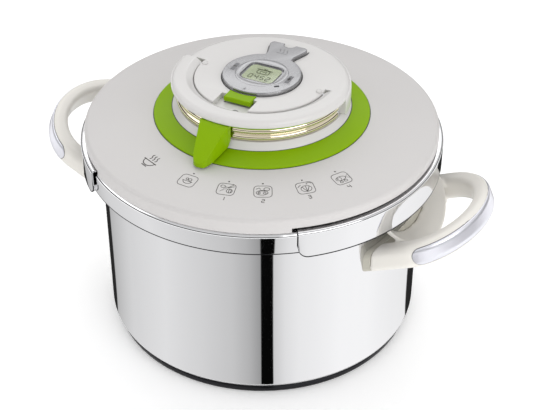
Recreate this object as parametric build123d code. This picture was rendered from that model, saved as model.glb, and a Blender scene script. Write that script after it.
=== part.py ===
from build123d import *
import math
import os

os.makedirs("parts", exist_ok=True)

# ---------------------------------------------------------------- driving sizes (mm)
POT_R = 121.0            # outside radius of the pot wall
WALL = 1.2               # steel wall
BASE_T = 6.0             # thermal base disc
BASE_R = POT_R - 3.7     # base disc is a little smaller than the wall
POT_CORNER = 8.0         # outside radius where the wall turns into the bottom
RIM_Z = 152.0            # top of the pot's rim
FLANGE_R = POT_R + 8.5   # outside radius of the flared rim

SKIRT_R = FLANGE_R + 3.3  # outside radius of the lid skirt
SKIRT_Z0 = RIM_Z - 9.5   # lower edge of the skirt
LID_TOP = RIM_Z + 6.4    # outside top of the steel lid
JAW_R = SKIRT_R + 2.5    # outside radius of the clamping jaws
JAW_Z0, JAW_Z1 = SKIRT_Z0 - 3.0, LID_TOP + 1.9
JAW_IN = FLANGE_R - 11.5  # inner edge of the jaw's top flange
JAW_T = 1.2
JAW_HALF = 52.8          # half angle of each jaw about the handle axis
JAW_TRAVEL = 12.0        # outward travel of each jaw
LIP_R = FLANGE_R + 0.5   # inner radius of the jaw's lower lip

COVER_R = SKIRT_R - 1.0  # white cover
COVER_T = 2.6
COVER_RIM_Z = LID_TOP + 11.5  # height of the cover's shoulder
COVER_JAW_Z = JAW_Z1 + 2.0  # underside of the cover above the jaws
TRIM_R = 80.0            # green trim ring, outside
TRIM_RI = 66.2           # green trim ring, inside
TRIM_Z = LID_TOP + 17.6
TRIM_ZI = TRIM_Z + 6.0

KNOB_R = 60.5            # column of the knob under the chrome band
BAND_R = 63.0            # crest of the chrome band
BAND_Z0, BAND_Z1 = TRIM_ZI + 5.2, TRIM_ZI + 15.8
DECK_Z = BAND_Z1 + 0.2           # top of the knob column
RING_R = 64.0            # selector ring
RING_RI = 54.0
RING_T = 1.5
CAP_R = 65.6             # back half of the cap
CAP_Z = DECK_Z + 6.0     # top of the cap
CAP_BACK_Y = 3.6         # the wide half of the cap starts here

BAIL_RI, BAIL_R = 50.2, 66.5
PLATEAU_R = BAIL_RI - 0.6  # front half of the cap, inside the bail
BAIL_Z0, BAIL_Z1 = DECK_Z + 2.0, CAP_Z + 2.0
BAIL_Y = -1.5            # hinge axis of the bail
BAIL_END = 2.2           # radius of the bail's ends about the hinge
BAIL_Z = BAIL_Z0 + BAIL_END
PIN_R = 1.1

TIMER_R = 29.0
TIMER_T = 2.9
TAIL_Y = 48.0
TAIL_HALF = 15.0
NECK_HALF = 11.0

LEVER_ANGLE = -93.0
LEVER_W = 23.0
LEVER_TIP_R = 90.0

TILT = 25.0              # upward slope of the side handles
HANDLE_X0 = POT_R - 14.0  # origin of the sloping handle frame
HANDLE_Z0 = RIM_Z - 45.8
GRIP_H = 18.3            # depth of the handle section
LOOP_C = 34.0            # where the straight arms turn into the oval end
LOOP_A, LOOP_B = 44.7, 55.6
HOLE_A, HOLE_B = 33.0, 41.0
GUARD_HALF = HOLE_B + 2.0  # the finger guard runs this far into the arms
PAD_R = POT_R + 5.0      # back pad between pot and handle

FIT = 0.05               # running clearance
SEAT = 0.02              # clearance of parts that sit on each other
AIR = 0.3                # clearance between free bodies


# ---------------------------------------------------------------- helpers
def spin(points, arc=360.0, start=0.0, rounds=()):
    """Revolve a closed (radius, height) outline about Z, rounding listed corners."""
    face = make_face(Polyline(*[(r, 0, z) for r, z in points], close=True)).face()
    for index, radius in rounds:
        r, z = points[index]
        corner = min(face.vertices(), key=lambda v: (v.X - r) ** 2 + (v.Z - z) ** 2)
        face = face.fillet_2d(radius, [corner])
    solid = revolve(face, Axis.Z, arc)
    return Rot(0, 0, start) * solid if start else solid


def ring(r_in, r_out, z0, z1):
    return spin([(r_in, z0), (r_out, z0), (r_out, z1), (r_in, z1)])


def rod(x, y, z0, z1, r):
    return Pos(x, y, (z0 + z1) / 2) * Cylinder(r, z1 - z0)


def block(x0, x1, y0, y1, z0, z1):
    return Pos((x0 + x1) / 2, (y0 + y1) / 2, (z0 + z1) / 2) * Box(x1 - x0, y1 - y0, z1 - z0)


def sector(r_in, r_out, z0, z1, centre, half):
    """Ring segment centred on an angle in degrees."""
    outline = [(r_in, z0), (r_out, z0), (r_out, z1), (r_in, z1)]
    return spin(outline, 2 * half, centre - half)


def polar(r, degrees):
    return r * math.cos(math.radians(degrees)), r * math.sin(math.radians(degrees))


def cover_z(r):
    """Height of the cover's gently domed outer face at a radius."""
    t = (COVER_R - r) / (COVER_R - TRIM_R)
    return COVER_RIM_Z + (TRIM_Z - COVER_RIM_Z) * (1.25 * t - 0.25 * t * t)


def turned(shape):
    """The same part on the other side."""
    return Rot(0, 0, 180) * shape


def save(shape, name):
    export_step(shape, f"parts/{name}.step")


# ---------------------------------------------------------------- pot
rim_z = RIM_Z - WALL
pot_outer = [(0, BASE_T), (POT_R, BASE_T), (POT_R, RIM_Z - 7.5), (POT_R + 4.2, rim_z),
             (FLANGE_R, rim_z), (FLANGE_R, RIM_Z), (POT_R + 3.4, RIM_Z),
             (POT_R - WALL, RIM_Z - 7.0), (POT_R - WALL, BASE_T + WALL), (0, BASE_T + WALL)]
pot_shell = spin(pot_outer, rounds=[(1, POT_CORNER), (8, POT_CORNER - WALL), (2, 3.0), (3, 2.5),
                                    (6, 3.0), (7, 2.5)])
save(pot_shell, "pot_shell")

pot_base = spin([(0, 0), (BASE_R, 0), (BASE_R, BASE_T - SEAT), (0, BASE_T - SEAT)],
                rounds=[(1, 2.8), (2, 1.2)])
save(pot_base, "pot_base")

# ---------------------------------------------------------------- side handles
tilt = Pos(HANDLE_X0, 0, HANDLE_Z0) * Rot(0, -TILT, 0)


def loop_solid(grow, height, edge):
    """Filled D outline of the handle in its sloping frame, with rounded edges."""
    flat = Pos(LOOP_C / 2 - 10, 0) * Rectangle(LOOP_C + 20, 2 * (LOOP_B + grow))
    flat += Pos(LOOP_C, 0) * Ellipse(LOOP_A + grow, LOOP_B + grow)
    solid = extrude(flat.face(), height / 2, both=True)
    rim = [e for e in solid.edges() if abs(abs(e.center().Z) - height / 2) < 0.01
           and e.center().X > -15]
    return fillet(rim, edge)


hole = Pos(LOOP_C / 2 - 10, 0) * Rectangle(LOOP_C + 20, 2 * HOLE_B)
hole += Pos(LOOP_C, 0) * Ellipse(HOLE_A, HOLE_B)
hole_solid = extrude(hole.face(), GRIP_H, both=True)

loop = loop_solid(0.0, GRIP_H, 6.0)
frame = loop - hole_solid
inner_rim = [e for e in frame.edges() if abs(abs(e.center().Z) - GRIP_H / 2) < 0.01
             and -15 < e.center().X and e.bounding_box().max.Y < HOLE_B + 0.01
             and e.bounding_box().min.Y > -HOLE_B - 0.01]
frame = fillet(inner_rim, 4.0)

# finger guard: part of a spherical dish between the arms
GUARD_X = HANDLE_X0 + 13.0
guard_edge = extrude(Pos(GUARD_X, 0, HANDLE_Z0 - 46.2) * Ellipse(24.5, 46.0), 100)
dish_at = Pos(GUARD_X + 35.0, 0, HANDLE_Z0 + 78.8)
dish = dish_at * (Sphere(78.0) - Sphere(75.0))
dish = dish & guard_edge & block(GUARD_X, GUARD_X + 30, -GUARD_HALF, GUARD_HALF, HANDLE_Z0 - 16, HANDLE_Z0 + 44)
WEB_END, WEB_LOW = 27.0, -11.5
web = (tilt * block(4, WEB_END, -GUARD_HALF, GUARD_HALF, WEB_LOW, -1.0)) - dish_at * Sphere(76.0)

# bracket: curved plate welded to the wall with a tab that runs into the handle
PLATE_Z0, PLATE_Z1, PLATE_HALF = HANDLE_Z0 - 4.2, HANDLE_Z0 + 12.3, 13.5
PLATE_T = 1.6
TAB_W0, TAB_W1, TAB_END = -8.6, -6.6, 25.0
SCREW_U = 20.5
HEAD_W = TAB_W0 - 1.3        # the screw's head bears on the web here
ROOM = 0.2
bracket = sector(POT_R + FIT, POT_R + PLATE_T, PLATE_Z0, PLATE_Z1, 0, PLATE_HALF)
tab = (tilt * block(8, TAB_END, -10, 10, TAB_W0, TAB_W1)) - Cylinder(POT_R + FIT, 400)
bracket = bracket + tab - tilt * rod(SCREW_U, 0, TAB_W0 - 1, TAB_W1 + 1, 2.0 + SEAT)

screw = tilt * (rod(SCREW_U, 0, HEAD_W - 1.4, HEAD_W, 4.0) + rod(SCREW_U, 0, HEAD_W, TAB_W1 + 0.6, 2.0))

tab_room = tilt * block(0, TAB_END + ROOM, -10 - ROOM, 10 + ROOM, TAB_W0 - ROOM, TAB_W1 + ROOM)
screw_room = tilt * (rod(SCREW_U, 0, WEB_LOW - 3, HEAD_W + SEAT, 4.0 + ROOM)
                     + rod(SCREW_U, 0, HEAD_W, TAB_W1 + 0.8, 2.0 + ROOM))

# satin insert let into the outer wall of the grip
INSERT_T = 1.6
INSERT_H = 12.6
INSERT_U = 48.0
band = loop_solid(0.35, GRIP_H + 0.7, 6.2) - loop_solid(-INSERT_T, GRIP_H - 2 * INSERT_T, 5.0)


def insert_mask(slack):
    half = INSERT_H / 2 + slack
    bar = block(INSERT_U, 110, -70, 70, -half, half)
    return bar + Pos(INSERT_U, 0, 0) * Rot(90, 0, 0) * Cylinder(half, 140)


insert = tilt * (band & insert_mask(0.0))
insert_room = tilt * (band & insert_mask(SEAT))

handle = tilt * frame + dish + web - insert_room - tab_room - screw_room
handle = handle - Cylinder(PAD_R + SEAT, 400)
pad = tilt * (loop_solid(-0.6, GRIP_H - 1.2, 5.0) + block(-5, WEB_END, -30, 30, WEB_LOW, 0))
pad = pad & sector(POT_R + FIT, PAD_R, HANDLE_Z0 - 46, HANDLE_Z0 + 54, 0, 40)
pad = pad - sector(POT_R, POT_R + PLATE_T + SEAT, PLATE_Z0 - ROOM, PLATE_Z1 + ROOM, 0, PLATE_HALF + ROOM)
pad = pad - tab_room

for side, place in (("right", lambda s: s), ("left", turned)):
    save(place(handle), f"handle_{side}")
    save(place(pad), f"handle_pad_{side}")
    save(place(insert), f"handle_insert_{side}")
    save(place(bracket), f"handle_bracket_{side}")
save(Compound([screw, turned(screw)]), "handle_screws")

# ---------------------------------------------------------------- lid
POST_R = 98.0
POST_ANGLES = (60.0, 120.0, 240.0, 300.0)
SAFETY = polar(72.0, 125.0)
STEAM = (0.0, 36.0)
PIN_AT = (2.6, -47.6)
INDICATOR_R = 1.5
HUB_R = 9.0
PLATE_Z = LID_TOP - WALL

lid_shell = spin([(0, PLATE_Z), (SKIRT_R - WALL, PLATE_Z), (SKIRT_R - WALL, SKIRT_Z0),
                  (SKIRT_R, SKIRT_Z0), (SKIRT_R, LID_TOP), (0, LID_TOP)],
                 rounds=[(4, 3.0), (1, 1.8)])
HOLE_Z = (LID_TOP - 8.4, LID_TOP + 6.6)
lid_shell -= rod(0, 0, *HOLE_Z, 3.1)
lid_shell -= rod(*SAFETY, *HOLE_Z, 6.0 + FIT)
lid_shell -= rod(*STEAM, *HOLE_Z, 6.5 + FIT)
lid_shell -= rod(*PIN_AT, *HOLE_Z, 5.0 + FIT)
for angle in POST_ANGLES:
    lid_shell -= rod(*polar(POST_R, angle), *HOLE_Z, 1.6)
save(lid_shell, "lid_shell")

gasket_r = SKIRT_R - WALL - FIT
gasket = spin([(POT_R + 1.5, PLATE_Z - SEAT), (POT_R + 1.5, PLATE_Z - 1.6), (gasket_r - 2.2, PLATE_Z - 1.6),
               (gasket_r - 2.2, RIM_Z + 1.6), (POT_R + 2.5, RIM_Z + 1.3), (POT_R + 2.5, RIM_Z + FIT),
               (gasket_r, RIM_Z + FIT), (gasket_r, PLATE_Z - SEAT)], rounds=[(7, 1.8)])
save(gasket, "lid_gasket")

# cover: domed white disc with a hanging rim, cut back above the jaws
mid_r = (COVER_R + TRIM_R) / 2


def dome_face():
    low = LID_TOP + 0.1
    inner = COVER_R - COVER_T
    over = (64.0, TRIM_Z + 1.4)
    edges = [
        Line((COVER_R, 0, low), (COVER_R, 0, COVER_RIM_Z)),
        ThreePointArc((COVER_R, 0, COVER_RIM_Z), (mid_r, 0, cover_z(mid_r)), (TRIM_R, 0, TRIM_Z)),
        Line((TRIM_R, 0, TRIM_Z), (over[0], 0, over[1])),
        Line((over[0], 0, over[1]), (over[0], 0, over[1] - COVER_T)),
        Line((over[0], 0, over[1] - COVER_T), (TRIM_R, 0, TRIM_Z - COVER_T)),
        ThreePointArc((TRIM_R, 0, TRIM_Z - COVER_T), (mid_r, 0, cover_z(mid_r) - COVER_T),
                      (inner, 0, COVER_RIM_Z - COVER_T)),
        Line((inner, 0, COVER_RIM_Z - COVER_T), (inner, 0, low)),
        Line((inner, 0, low), (COVER_R, 0, low)),
    ]
    face = make_face(edges).face()
    top = min(face.vertices(), key=lambda v: abs(v.X - COVER_R) + abs(v.Z - COVER_RIM_Z))
    face = face.fillet_2d(3.6, [top])
    under = min(face.vertices(), key=lambda v: abs(v.X - inner) + abs(v.Z - COVER_RIM_Z + COVER_T))
    return face.fillet_2d(1.5, [under])


cover = revolve(dome_face(), Axis.Z)
for middle in (0.0, 180.0):
    cover -= sector(COVER_R - 20, COVER_R + 8, LID_TOP - 8, COVER_JAW_Z, middle, JAW_HALF + 1.7)
for angle in POST_ANGLES:
    px, py = polar(POST_R, angle)
    cover += rod(px, py, LID_TOP + SEAT, cover_z(POST_R) - 1.0, 4.0)
    cover -= rod(px, py, LID_TOP - 1, LID_TOP + 9.0, 1.5)
save(cover, "lid_cover")

screws = []
for angle in POST_ANGLES:
    px, py = polar(POST_R, angle)
    screws.append(rod(px, py, PLATE_Z - 1.5, PLATE_Z - SEAT, 3.5) + rod(px, py, PLATE_Z - 1, LID_TOP + 8.0, 1.47))
save(Compound(screws), "cover_screws")

ride_z = TRIM_Z + 1.4 * (TRIM_R - TRIM_RI) / 16.0
trim = spin([(TRIM_R, TRIM_Z + SEAT), (TRIM_R, TRIM_Z + 0.7), (TRIM_R - 0.8, TRIM_Z + 1.3),
             (TRIM_RI + 0.6, TRIM_ZI), (TRIM_RI, TRIM_ZI), (TRIM_RI, ride_z + SEAT)])
save(trim, "trim_ring")

# ---------------------------------------------------------------- knob column
foot_r = TRIM_RI - FIT
knob_base = spin([(57.5, TRIM_Z + 2.0), (64.0, TRIM_Z + 1.4 + SEAT), (foot_r, ride_z + SEAT),
                  (foot_r, TRIM_ZI + 0.4), (KNOB_R + 2.1, BAND_Z0 - 0.2), (KNOB_R, BAND_Z0 - 0.2), (KNOB_R, DECK_Z), (0, DECK_Z),
                  (0, DECK_Z - 2.5), (57.5, DECK_Z - 2.5)], rounds=[(3, 0.8), (4, 0.8)])
knob_base += rod(0, 0, LID_TOP + SEAT, DECK_Z - 1, HUB_R)
knob_base -= rod(0, 0, LID_TOP - 1, DECK_Z - 2, 3.0 + SEAT)
knob_base -= rod(*PIN_AT, DECK_Z - 5, DECK_Z + 1, INDICATOR_R + 0.3)
save(knob_base, "knob_base")

hex_head = extrude(Pos(0, 0, PLATE_Z - 4.5) * RegularPolygon(9.0, 6), 4.5 - SEAT)
knob_bolt = hex_head + rod(0, 0, PLATE_Z - 1, DECK_Z - 3, 3.0)
save(knob_bolt, "knob_bolt")

band_in = KNOB_R + FIT
mid_z = (BAND_Z0 + BAND_Z1) / 2
band_ring = spin([(band_in, BAND_Z0), (BAND_R - 1.0, BAND_Z0), (BAND_R, BAND_Z0 + 1.3),
                  (BAND_R, mid_z - 1.6), (BAND_R - 0.6, mid_z - 0.5), (BAND_R - 1.3, mid_z),
                  (BAND_R - 0.6, mid_z + 0.5), (BAND_R, mid_z + 1.6), (BAND_R, BAND_Z1 - 1.3),
                  (BAND_R - 1.0, BAND_Z1), (band_in, BAND_Z1)], 174.0, -177.0)
save(band_ring, "knob_band")

# cap: narrow plateau in front, full-width rounded half behind
front = spin([(0, DECK_Z + SEAT), (RING_RI - 0.6, DECK_Z + SEAT), (RING_RI - 0.6, BAIL_Z0 - 0.1),
              (PLATEAU_R, BAIL_Z0 - 0.1), (PLATEAU_R, CAP_Z), (0, CAP_Z)], rounds=[(4, 1.0)])
back = spin([(0, BAIL_Z0 - 0.1), (RING_R + AIR, BAIL_Z0 - 0.1), (RING_R + AIR, DECK_Z - 0.1),
             (KNOB_R + 0.1, DECK_Z - 0.1), (KNOB_R + 0.1, BAND_Z0 + 0.1), (CAP_R, BAND_Z0 + 0.1), (CAP_R, CAP_Z),
             (0, CAP_Z)], rounds=[(6, 6.0)])
cap = front + (back & block(-80, 80, CAP_BACK_Y, 80, DECK_Z - 18, DECK_Z + 12))
BUTTON = (-11.0, 10.0, -38.5, -20.0)
TRAVEL = 2.5


def button_plan(slack, z0, z1):
    x0, x1, y0, y1 = BUTTON
    return (block(x0 - slack, x1 + slack, y0 - slack, y1, z0, z1)
            - Cylinder(TIMER_R + 1.2 - slack, 5 * DECK_Z))


cap -= button_plan(0.15, DECK_Z + 0.6, DECK_Z + 12)
cap -= block(-15, 13, -53, -33, BAIL_Z0, DECK_Z + 12)
cap -= rod(*PIN_AT, DECK_Z - 1, DECK_Z + 7, INDICATOR_R + FIT)
PIN_L = 15.6
PIN_X = BAIL_RI + 2.0
for sx in (-1, 1):
    cap -= Pos(sx * PIN_X, BAIL_Y, BAIL_Z) * Rot(0, 90, 0) * Cylinder(PIN_R + SEAT, PIN_L + 2 * ROOM)
save(cap, "knob_cap")

pins = [Pos(sx * PIN_X, BAIL_Y, BAIL_Z) * Rot(0, 90, 0) * Cylinder(PIN_R, PIN_L) for sx in (-1, 1)]
save(Compound(pins), "bail_pins")

button = button_plan(0.0, DECK_Z + 0.6 + TRAVEL + 0.2, CAP_Z + 1.0)
button = fillet(button.edges().group_by(Axis.Z)[-1], 0.8)
save(button, "release_button")

# bail: half ring hinged at both ends
bail = spin([(BAIL_RI, BAIL_Z0), (BAIL_R, BAIL_Z0), (BAIL_R, BAIL_Z1), (BAIL_RI, BAIL_Z1)],
            rounds=[(2, 4.5), (3, 1.2), (1, 0.6)])
bail &= block(-80, 80, -80, BAIL_Y + BAIL_END, BAIL_Z0 - 10, BAIL_Z0 + 10)
nose = block(-80, 80, BAIL_Y, BAIL_Y + 3, BAIL_Z0 - 1, BAIL_Z)
nose -= Pos(0, BAIL_Y, BAIL_Z) * Rot(0, 90, 0) * Cylinder(BAIL_END, 200)
bail -= nose
for sx in (-1, 1):
    bail -= Pos(sx * PIN_X, BAIL_Y, BAIL_Z) * Rot(0, 90, 0) * Cylinder(PIN_R + FIT, PIN_L + 2 * ROOM)
save(bail, "bail")

# selector: ring in the slot under the bail with a pointer lever
selector = ring(RING_RI, RING_R, DECK_Z + 0.15, DECK_Z + 0.15 + RING_T)
ring_top = DECK_Z + 0.15 + RING_T
ring_low = DECK_Z + 0.15
tip_z = TRIM_Z + 0.2         # lowest point of the lever's tip
side_view = Polyline((RING_R - 4, 0, ring_low), (RING_R - 4, 0, ring_top), (RING_R + 2.7, 0, ring_top),
                     (RING_R + 6, 0, ring_top - 1.6), (LEVER_TIP_R, 0, tip_z + 3.4),
                     (LEVER_TIP_R, 0, tip_z + 0.4), (LEVER_TIP_R - 1.5, 0, tip_z),
                     (LEVER_TIP_R - 9, 0, tip_z + 1.5), (RING_R + 3.2, 0, tip_z + 7.5),
                     (RING_R - 0.3, 0, tip_z + 12.2), (RING_R - 0.3, 0, ring_low), close=True)
lever = extrude(make_face(side_view).face(), LEVER_W / 2, both=True)
plan = Pos(62, 0) * Rectangle(10, LEVER_W)
plan += make_face(Polyline((66, -LEVER_W / 2), (66, LEVER_W / 2), (85, 6.2), (85, -6.2), close=True))
plan += Pos(84, 0) * Circle(6.2 * 0.968)
plan = plan.face()
lever &= extrude(Pos(0, 0, TRIM_Z - 6) * plan, 40)
selector += lever
save(Rot(0, 0, LEVER_ANGLE) * selector, "selector")

# indicator pin and valves
pin = rod(*PIN_AT, PLATE_Z - 5.6, CAP_Z - 3.9, INDICATOR_R)
pin += rod(*PIN_AT, PLATE_Z - 6.3, PLATE_Z - 1.2 - 3.0 - 0.05, 3.2)
save(pin, "indicator_pin")
bushing = rod(*PIN_AT, PLATE_Z - 1.2, PLATE_Z - SEAT, 6.5) + rod(*PIN_AT, PLATE_Z - 1, LID_TOP + 2.5, 5.0)
bushing -= rod(*PIN_AT, LID_TOP - 8, LID_TOP + 12, INDICATOR_R + FIT)
save(bushing, "indicator_bushing")

safety = rod(*SAFETY, PLATE_Z - 1.3, PLATE_Z - SEAT, 8.5) + rod(*SAFETY, PLATE_Z - 6.7, LID_TOP + 4.5, 6.0)
safety -= rod(*SAFETY, PLATE_Z - 8, PLATE_Z + 0.8, 2.5)
save(safety, "safety_valve")
nut = extrude(Pos(*SAFETY, LID_TOP + SEAT) * RegularPolygon(9.0, 6), 3.0) - rod(*SAFETY, LID_TOP - 8, LID_TOP + 12, 6.0 + SEAT)
save(nut, "safety_valve_nut")

valve = rod(*STEAM, PLATE_Z - 1.3, PLATE_Z - SEAT, 9.0) + rod(*STEAM, PLATE_Z - 1, DECK_Z - 7.0, 6.5)
valve += rod(*STEAM, LID_TOP + SEAT, LID_TOP + 3.0, 8.5)
valve -= rod(*STEAM, PLATE_Z - 7.2, PLATE_Z + 22.8, 2.0)
save(valve, "steam_valve")

# ---------------------------------------------------------------- clamping jaws
ARM_HALF = 18.0
ARM_Z0 = JAW_Z1 + 0.05
ARM_T = 1.2
jaw = spin([(JAW_IN, JAW_Z1), (JAW_R, JAW_Z1), (JAW_R, JAW_Z0), (LIP_R, JAW_Z0), (LIP_R, JAW_Z0 + 1.4),
            (JAW_R - JAW_T, JAW_Z0 + 1.4), (JAW_R - JAW_T, JAW_Z1 - JAW_T), (JAW_IN, JAW_Z1 - JAW_T)],
           2 * JAW_HALF, -JAW_HALF, rounds=[(1, 2.0), (6, 0.8), (2, 0.6)])
end_y = JAW_R * math.sin(math.radians(JAW_HALF))
for sy in (-1, 1):
    corner = block(60, 140, end_y - 8.0, end_y + 2.0, JAW_Z0 - 1, JAW_Z0 + 8.0)
    corner -= Pos(100, end_y - 8.0, JAW_Z0 + 8.0) * Rot(0, 90, 0) * Cylinder(8.0, 100)
    jaw -= corner if sy > 0 else mirror(corner, Plane.XZ)
RIVET_X = JAW_IN + 4.0
arm = block(14, RIVET_X + 5, -ARM_HALF, ARM_HALF, ARM_Z0, ARM_Z0 + ARM_T)
rivets = []
for ry in (-12.0, 0.0, 12.0):
    jaw -= rod(RIVET_X, ry, JAW_Z1 - 5, JAW_Z1 + 5, 2.0 + SEAT)
    arm -= rod(RIVET_X, ry, JAW_Z1 - 5, JAW_Z1 + 5, 2.0 + SEAT)
    rivets.append(rod(RIVET_X, ry, JAW_Z1 - JAW_T, ARM_Z0 + ARM_T + 0.5, 2.0)
                  + rod(RIVET_X, ry, ARM_Z0 + ARM_T + SEAT, ARM_Z0 + ARM_T + 0.5, 3.4))
guide = block(56, 84, -ARM_HALF - 7, ARM_HALF + 7, LID_TOP + SEAT, ARM_Z0 + ARM_T + 3.0)
guide -= block(50, 90, -ARM_HALF - FIT, ARM_HALF + FIT, ARM_Z0 - FIT, ARM_Z0 + ARM_T + FIT)
for side, place in (("right", lambda s: s), ("left", turned)):
    save(place(jaw), f"jaw_{side}")
    save(place(arm), f"jaw_arm_{side}")
    save(place(Compound(rivets)), f"jaw_rivets_{side}")
    save(place(guide), f"arm_guide_{side}")

# ---------------------------------------------------------------- timer
t0 = CAP_Z + SEAT
t1 = t0 + TIMER_T
tail = make_face(Polyline((-NECK_HALF, 15), (-NECK_HALF, 31), (-TAIL_HALF, TAIL_Y - 5), (-TAIL_HALF, TAIL_Y),
                          (TAIL_HALF, TAIL_Y), (TAIL_HALF, TAIL_Y - 5), (NECK_HALF, 31), (NECK_HALF, 15),
                          close=True)).face()
tail = tail.fillet_2d(3.0, [v for v in tail.vertices() if v.Y > 40])
body_plan = (Circle(TIMER_R) + tail - Pos(0, TAIL_Y) * Circle(4.5)).face()
case = extrude(Pos(0, 0, t0 + 0.8) * body_plan, TIMER_T - 0.8)
case = fillet(case.edges().group_by(Axis.Z)[-1], 0.9)
foot = extrude(Pos(0, 0, t0) * offset(body_plan, -0.8).face(), 0.8 - SEAT)
save(foot, "timer_back")
LENS_W, LENS_D = 25.0, 21.5
KEY_X, KEY_W, KEY_L, KEY_TRAVEL = 22.0, 3.2, 10.0, 0.5
lens_plan = RectangleRounded(LENS_W, LENS_D, 4.0)
case -= extrude(Pos(0, 0, t0 + 1.5) * RectangleRounded(28.0, 25.0, 5.0), 5)
case -= extrude(Pos(0, 0, t0 + 0.9) * RectangleRounded(LENS_W + 2 * SEAT, LENS_D + 2 * SEAT, 4.0), 5)
for sx in (-1, 1):
    case -= block(sx * KEY_X - KEY_W / 2 - FIT, sx * KEY_X + KEY_W / 2 + FIT, -KEY_L / 2 - FIT, KEY_L / 2 + FIT,
                  t0 + 1.0, t0 + 10)
save(case, "timer_case")
save(extrude(Pos(0, 0, t0 + 0.92) * lens_plan, 0.5), "timer_display")
save(extrude(Pos(0, 0, t0 + 1.45) * lens_plan, 0.6), "timer_lens")
for name, sx in (("timer_key_minus", -1), ("timer_key_plus", 1)):
    key = block(sx * KEY_X - KEY_W / 2, sx * KEY_X + KEY_W / 2, -KEY_L / 2, KEY_L / 2,
                t0 + 1.0 + KEY_TRAVEL + 0.1, t1 + 0.4)
    save(fillet(key.edges().group_by(Axis.Z)[-1], 0.4), name)
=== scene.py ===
"""Looks of a stovetop pressure cooker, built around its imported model.

Lengths inside the classes are millimetres in the frame of the part; they become metres
where a mesh is made.
"""
import logging
import math
from dataclasses import dataclass
from enum import Enum

import bmesh
import bpy
import numpy as np
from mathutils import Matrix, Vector


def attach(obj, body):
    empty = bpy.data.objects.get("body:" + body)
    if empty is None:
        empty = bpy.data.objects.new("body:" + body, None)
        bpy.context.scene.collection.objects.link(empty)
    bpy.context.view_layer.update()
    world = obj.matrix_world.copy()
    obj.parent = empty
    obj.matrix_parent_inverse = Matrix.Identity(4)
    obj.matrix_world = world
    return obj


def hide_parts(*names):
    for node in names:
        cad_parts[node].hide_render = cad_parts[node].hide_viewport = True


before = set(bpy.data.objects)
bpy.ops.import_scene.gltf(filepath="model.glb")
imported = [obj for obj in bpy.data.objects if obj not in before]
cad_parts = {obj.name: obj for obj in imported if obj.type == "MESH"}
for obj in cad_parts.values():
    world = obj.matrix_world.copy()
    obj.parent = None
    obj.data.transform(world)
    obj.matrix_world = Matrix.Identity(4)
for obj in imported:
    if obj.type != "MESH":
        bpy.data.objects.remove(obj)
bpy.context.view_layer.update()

LOG = logging.getLogger("pressure_cooker")
MM = 0.001
FULL_TURN = 360.0
CLOUDS = 38.0  # scale per metre of the slow change of colour in every finish
INK_THICK = 0.06  # millimetres of every printed mark
Surface = tuple[np.ndarray, list[np.ndarray]]
Place = tuple[float, float]
Triple = tuple[float, float, float]


# ------------------------------------------------------------------ finishes
class Grain(Enum):
    """How the fine surface of a finish is made."""

    MOULDED = (3200.0, 0.0012)
    POLISHED = (260.0, 0.0004)
    SATIN = (2600.0, 0.002)
    DULL = (1800.0, 0.012)
    PRINTED = (3000.0, 0.001)

    @property
    def scale(self) -> float:
        """Noise scale per metre."""
        return self.value[0]

    @property
    def depth(self) -> float:
        """Height of the bumps in millimetres."""
        return self.value[1]


@dataclass(frozen=True)
class Finish:
    """A surface finish: two close colours, a roughness that wanders, and a grain."""

    name: str
    slot: str
    colour: Triple
    shade: Triple
    roughness: float
    spread: float
    grain: Grain
    metallic: float = 0.0
    coat: float = 0.0
    clear: float = 0.0
    stretch: Triple = (1.0, 1.0, 1.0)
    specular: float = 0.5

    def material(self) -> bpy.types.Material:
        """Return the node material, made once.

        Returns:
            The material of this finish.
        """
        known = bpy.data.materials.get(self.name)
        if known:
            return known
        made = bpy.data.materials.new(self.name)
        made.use_nodes = True
        nodes, links = made.node_tree.nodes, made.node_tree.links
        shader = nodes["Principled BSDF"]
        settings = {"Metallic": self.metallic, "Coat Weight": self.coat, "Coat Roughness": 0.08,
                    "Transmission Weight": self.clear, "Specular IOR Level": self.specular}
        for socket, value in settings.items():
            shader.inputs[socket].default_value = value
        place = nodes.new("ShaderNodeTexCoord")
        turn = nodes.new("ShaderNodeMapping")
        turn.inputs["Scale"].default_value = self.stretch
        links.new(place.outputs["Object"], turn.inputs["Vector"])
        fine = self._noise(nodes, links, turn, self.grain.scale, 3.0)
        broad = self._noise(nodes, links, turn, CLOUDS, 2.0)
        tint = nodes.new("ShaderNodeMix")
        tint.data_type = "RGBA"
        tint.inputs["A"].default_value = (*self.colour, 1.0)
        tint.inputs["B"].default_value = (*self.shade, 1.0)
        links.new(broad.outputs["Fac"], tint.inputs["Factor"])
        links.new(tint.outputs["Result"], shader.inputs["Base Color"])
        rough = nodes.new("ShaderNodeMapRange")
        rough.inputs["To Min"].default_value = self.roughness - self.spread
        rough.inputs["To Max"].default_value = self.roughness + self.spread
        links.new(fine.outputs["Fac"], rough.inputs["Value"])
        links.new(rough.outputs["Result"], shader.inputs["Roughness"])
        bump = nodes.new("ShaderNodeBump")
        bump.inputs["Distance"].default_value = self.grain.depth * MM
        links.new(fine.outputs["Fac"], bump.inputs["Height"])
        links.new(bump.outputs["Normal"], shader.inputs["Normal"])
        return made

    @staticmethod
    def _noise(nodes: bpy.types.Nodes, links: bpy.types.NodeLinks, place: bpy.types.Node,
               scale: float, detail: float) -> bpy.types.Node:
        """Return a noise texture read at the given place.

        Args:
            nodes: the material's nodes.
            links: the material's links.
            place: the mapping node.
            scale: noise scale per metre.
            detail: octaves of the noise.

        Returns:
            The noise node.
        """
        noise = nodes.new("ShaderNodeTexNoise")
        noise.inputs["Scale"].default_value = scale
        noise.inputs["Detail"].default_value = detail
        links.new(place.outputs["Vector"], noise.inputs["Vector"])
        return noise


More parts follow.
